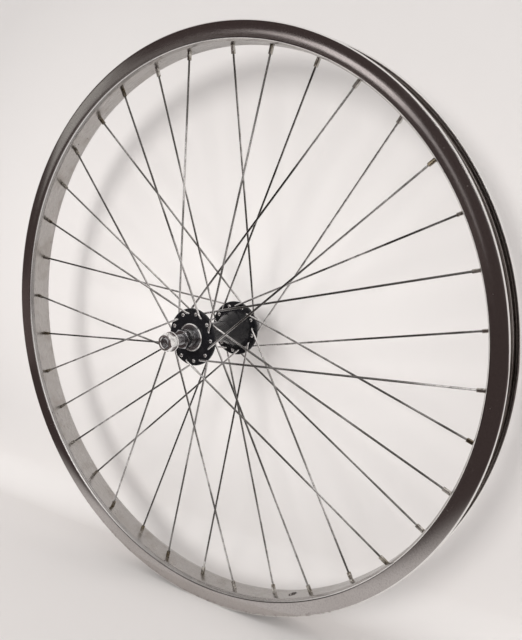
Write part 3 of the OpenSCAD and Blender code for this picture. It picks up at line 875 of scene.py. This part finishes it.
def make_nut(node, body, slot_name, across, turn, bore_r, both):
    """A hexagon nut with a countersunk bore, its corners chamfered on both faces or the outer one."""
    side, bottom, top = along_axle(node)
    corner, face = across / math.sqrt(3), across / 2 - NUT_CHAMFER
    drop = (corner - face) * math.tan(math.radians(CHAMFER_TILT))

    def hexed(limit):
        def radius(angle):
            off = math.radians((angle + 30) % 60 - 30)
            straight = across / 2 / math.cos(math.radians(30) - abs(off))
            return min(straight, corner - CORNER_OFF, limit)
        return radius

    rise = [(face + (corner - face) * i / CHAMFER_STEPS, i / CHAMFER_STEPS * drop)
            for i in range(CHAMFER_STEPS + 1)]
    rows = [(hexed(limit), bottom + h) for limit, h in rise] if both else [(hexed(corner), bottom)]
    rows += [(hexed(limit), top - h) for limit, h in reversed(rise)]
    if not both:
        rows.append((hexed(face - 0.15), top))
    bore = [(bore_r + 0.55, top), (bore_r, top - 0.55), (bore_r, bottom + 0.4), (bore_r + 0.4, bottom)]
    verts, faces = stacked(rings_of(rows, NUT_SIDES, turn), rings_of(bore, NUT_SIDES, turn))
    nut = smooth(add_mesh(node + "_hex", on_side(side, verts), faces), angle=24)
    return piece(nut, body, slot_name, node)


# ---- Stage, lights and camera ------------------------------------------------------------------

PALE = (0.775, 0.748, 0.735)
# The floor's and the wall's half width, the wall's height, and the curve at the wall's foot
STAGE_HALF, WALL_H, COVE_R, COVE_UP = 4.0, 3.0, 0.045, 0.0004
WALL_GAP = 0.002
# The painted pool of light on the wall: its colours, its middle, its half width and height, and its ends
LIGHT_POOL_WHITE, LIGHT_POOL_GREY = (0.90, 0.872, 0.860), (0.58, 0.562, 0.556)
POOL_LEFT, POOL_HALF_W, POOL_HALF_H = 0.06, 0.495, 0.30
POOL_FROM, POOL_TO, POOL_FOOT = 0.15, 1.40, 0.12

# The dim room: its ends in X, in Y and in Z, its colour, and where its floor turns pale
ROOM_LEFT, ROOM_RIGHT, ROOM_FRONT, ROOM_BACK, ROOM_TOP = -4.6, 1.7, -0.05, -2.6, 2.2
ROOM_DIM = (0.080, 0.060, 0.058)
ROOM_FADE = ((-0.58, -0.26), (-0.50, -0.17))
# Pale bands in the room: (x, z, half width) along each, how far each is off the back, and its glow
BANDS = {
    "stage_room_streak": (
        [(-1.31, 0.00, 0.03), (-1.39, 0.12, 0.12), (-1.46, 0.21, 0.17), (-1.60, 0.32, 0.15),
         (-1.74, 0.38, 0.06)], 0.10, (1.25, 1.18, 1.18)),
    "stage_room_tail": (
        [(-1.17, -0.24, 0.05), (-1.25, -0.10, 0.08), (-1.33, 0.04, 0.10), (-1.40, 0.13, 0.08)],
        0.12, (0.42, 0.39, 0.39))}
# How far the room's floor and its paler piece on the left lie above the stage's floor
ROOM_UP, LEFT_UP = 0.002, 0.004
# A pale patch off the back, as two rows of (x, z), and the paler piece of floor on the left
PATCH, PATCH_OFF = (((-3.15, 0.62), (-2.55, 0.92)), ((-2.15, -0.10), (-1.95, 0.08))), 0.1
PATCH_GLOW = (0.56, 0.55, 0.53)
LEFT_X, LEFT_Y, LEFT_GLOW = (-3.2, -1.1), (-0.7, -2.3), (0.15, 0.118, 0.114)

# The world's light on surfaces, and the key lamp
WORLD_COLOUR, WORLD_LEVEL = (1.0, 0.995, 0.99), 0.87
KEY_AT, KEY_SIZE, KEY_POWER, KEY_COLOUR = (0.12, -3.70, 1.25), 1.4, 60.0, (1.0, 0.985, 0.965)
# The camera: where it is, the ways that its back and its right point, its lens and its shift
CAMERA_AT, CAMERA_BACK = (0.42680, -0.55535, 0.11689), (0.60445, -0.77323, 0.19172)
CAMERA_RIGHT, CAMERA_LENS, CAMERA_SHIFT = (0.78784, 0.61588, 0), 40.07, (0.08125, 0.0498)


def backdrop(name):
    """The matt material of the floor or of the wall."""
    return Finish(name, PALE, 0.0, 0.9, Specular_IOR_Level=0.1)


def wall_finish(lowest):
    """A painted patch of light, paler behind the wheel than around it; the floor's colour at its foot, and
    clear from behind.
    """
    f = backdrop("stage_wall")
    x, _, z = f.xyz()
    wide = f.math("DIVIDE", f.math("ADD", x, POOL_LEFT), POOL_HALF_W)
    away = f.length(wide, f.math("DIVIDE", z, POOL_HALF_H))
    # Painted light: paler behind the wheel, greyer away from it
    light_pool = f.blend(f.ranged(away, POOL_FROM, POOL_TO), LIGHT_POOL_WHITE, LIGHT_POOL_GREY)
    f.feed("Base Color", f.blend(f.ranged(z, lowest, lowest + POOL_FOOT), PALE, light_pool))
    clear = f.tree.nodes.new("ShaderNodeBsdfTransparent")
    back = f.tree.nodes.new("ShaderNodeNewGeometry").outputs["Backfacing"]
    f.show(f.mixed(back, f.shader, clear))
    return f.material


def sheet_of(name, rows, material):
    """A stage surface skinned from rows of points, in metres."""
    faces = skin(len(rows), len(rows[0]), row_closes=False)
    mesh = bpy.data.meshes.new(name)
    mesh.from_pydata([p for row in rows for p in row], [], faces)
    mesh.polygons.foreach_set("use_smooth", [True] * len(faces))
    mesh.materials.append(material)
    obj = bpy.data.objects.new(name, mesh)
    bpy.context.scene.collection.objects.link(obj)
    return obj


def add_stage():
    """A pale floor, and a pale wall that the wheel stands against, which shows only from its front."""
    lowest, behind = CAD_BOX[0].z, CAD_BOX[1].y + WALL_GAP

    def across(places):
        return [[(-STAGE_HALF, y, z), (STAGE_HALF, y, z)] for y, z in places]

    sheet_of("stage_floor", across([(-STAGE_HALF, lowest), (STAGE_HALF, lowest)]),
             backdrop("stage_floor").material)
    curve = [(behind - COVE_R + COVE_R * math.sin(math.radians(a)),
              lowest + COVE_UP + COVE_R * (1 - math.cos(math.radians(a)))) for a in range(0, 91, 6)]
    sheet_of("stage_wall", across(curve + [(behind, lowest + WALL_H)]), wall_finish(lowest))


def card_finish(name, level, fade):
    """A plain glow. With fade, it turns pale between two places each in X and in Y."""
    material = bpy.data.materials.new(name)
    material.use_nodes = True
    f = Nodes(material.node_tree)
    f.tree.nodes.remove(f.tree.nodes["Principled BSDF"])
    glow = f.tree.nodes.new("ShaderNodeEmission")
    glow.inputs["Color"].default_value = (*level, 1)
    if fade:
        share = f.product(*(f.ranged(part, *ends, kind="SMOOTHSTEP") for part, ends in zip(f.xyz(), fade)))
        f.fill(glow.inputs["Color"], f.blend(share, level, PALE))
    f.show(glow)
    return material


def add_card(name, rows, level, fade=None):
    """A card that shows only in reflections."""
    card = sheet_of(name, rows, card_finish(name, level, fade))
    for flag in ("visible_camera", "visible_diffuse", "visible_shadow", "visible_transmission"):
        setattr(card, flag, False)


def add_dark_room():
    """The dim room in front of the wheel that its polish reflects, with paler places in it."""
    low = CAD_BOX[0].z
    add_card("stage_room_back", [[(x, ROOM_BACK, z) for x in (ROOM_LEFT, ROOM_RIGHT)]
                                 for z in (low, ROOM_TOP)], ROOM_DIM)
    add_card("stage_room_floor", [[(x, y, low + ROOM_UP) for x in (ROOM_LEFT, ROOM_RIGHT)]
                                  for y in (ROOM_FRONT, ROOM_BACK)], ROOM_DIM, ROOM_FADE)
    for name, (points, away, level) in BANDS.items():
        rows = []
        for i, (x, z, half) in enumerate(points):
            before, after = points[max(i - 1, 0)], points[min(i + 1, len(points) - 1)]
            run = Vector((after[0] - before[0], after[1] - before[1])).normalized() * half
            rows.append([(x - run.y, ROOM_BACK + away, z + run.x), (x + run.y, ROOM_BACK + away, z - run.x)])
        add_card(name, rows, level)
    add_card("stage_room_patch", [[(x, ROOM_BACK + PATCH_OFF, z) for x, z in row] for row in PATCH],
             PATCH_GLOW)
    add_card("stage_room_left", [[(x, y, low + LEFT_UP) for x in LEFT_X] for y in LEFT_Y], LEFT_GLOW)


def add_lights():
    """A world that looks pale and lights the wheel evenly, and one soft key lamp."""
    world = bpy.data.worlds.new("studio")
    bpy.context.scene.world = world
    world.use_nodes = True
    f = Nodes(world.node_tree)
    seen, lit = f.tree.nodes["Background"], f.tree.nodes.new("ShaderNodeBackground")
    for node, colour, strength in ((seen, PALE, 1.0), (lit, WORLD_COLOUR, WORLD_LEVEL)):
        node.inputs["Color"].default_value = (*colour, 1)
        node.inputs["Strength"].default_value = strength
    rays = f.tree.nodes.new("ShaderNodeLightPath").outputs
    total = rays["Is Camera Ray"]
    for name in ("Is Glossy Ray", "Is Transmission Ray"):
        total = f.math("ADD", total, rays[name], clamp=True)
    f.show(f.mixed(total, lit, seen), "World Output")

    key = bpy.data.lights.new("key", "AREA")
    key.shape = "DISK"
    key.size = KEY_SIZE
    key.energy = KEY_POWER
    key.color = KEY_COLOUR
    lamp = bpy.data.objects.new("key", key)
    lamp.location = KEY_AT
    lamp.rotation_euler = (-Vector(KEY_AT)).to_track_quat("-Z", "Y").to_euler()
    bpy.context.scene.collection.objects.link(lamp)


def add_camera():
    """The camera stands in front of the wheel, to its right and a little above its centre."""
    data = bpy.data.cameras.new("camera")
    data.sensor_width = 36
    data.lens = CAMERA_LENS
    data.shift_x, data.shift_y = CAMERA_SHIFT
    back, right = Vector(CAMERA_BACK).normalized(), Vector(CAMERA_RIGHT).normalized()
    matrix = Matrix((right, back.cross(right), back)).transposed().to_4x4()
    matrix.translation = Vector(CAMERA_AT)
    camera = bpy.data.objects.new("camera", data)
    camera.matrix_world = matrix
    bpy.context.scene.collection.objects.link(camera)
    bpy.context.scene.camera = camera


def finish_carried_nodes():
    """Materials for the CAD nodes that stay: the parts inside the bearings."""
    for side_name in SIDES:
        for part in ("cup", "balls", "retainer"):
            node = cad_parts[f"{part}_{side_name}"]
            node.data.materials.clear()
            node.data.materials.append(FINISHES["bearing_steel"])


make_rim()
template = nipple_template()
for name in SIDES:
    for lay_name in ("outer", "inner"):
        make_spokes(name, lay_name)
    make_nipples(name, template)
    make_dust_cap(name)
    make_cone(name)
    make_washer(f"lock_washer_{name}", "axle_set", "dark_steel")
    make_washer(f"nut_washer_{name}", f"washer_{name}", "zinc_plate")
    make_nut(f"locknut_{name}", "axle_set", "dark_steel", LOCKNUT_AF, LOCKNUT_TURN, AXLE_R, both=True)
    make_nut(f"axle_nut_{name}", f"nut_{name}", "zinc_plate", NUT_AF, NUT_TURN[name], AXLE_R + 0.05,
             both=False)
make_hub_shell()
make_axle()
finish_carried_nodes()

add_stage()
add_dark_room()
add_lights()
add_camera()
bpy.context.scene.view_settings.view_transform = "Standard"
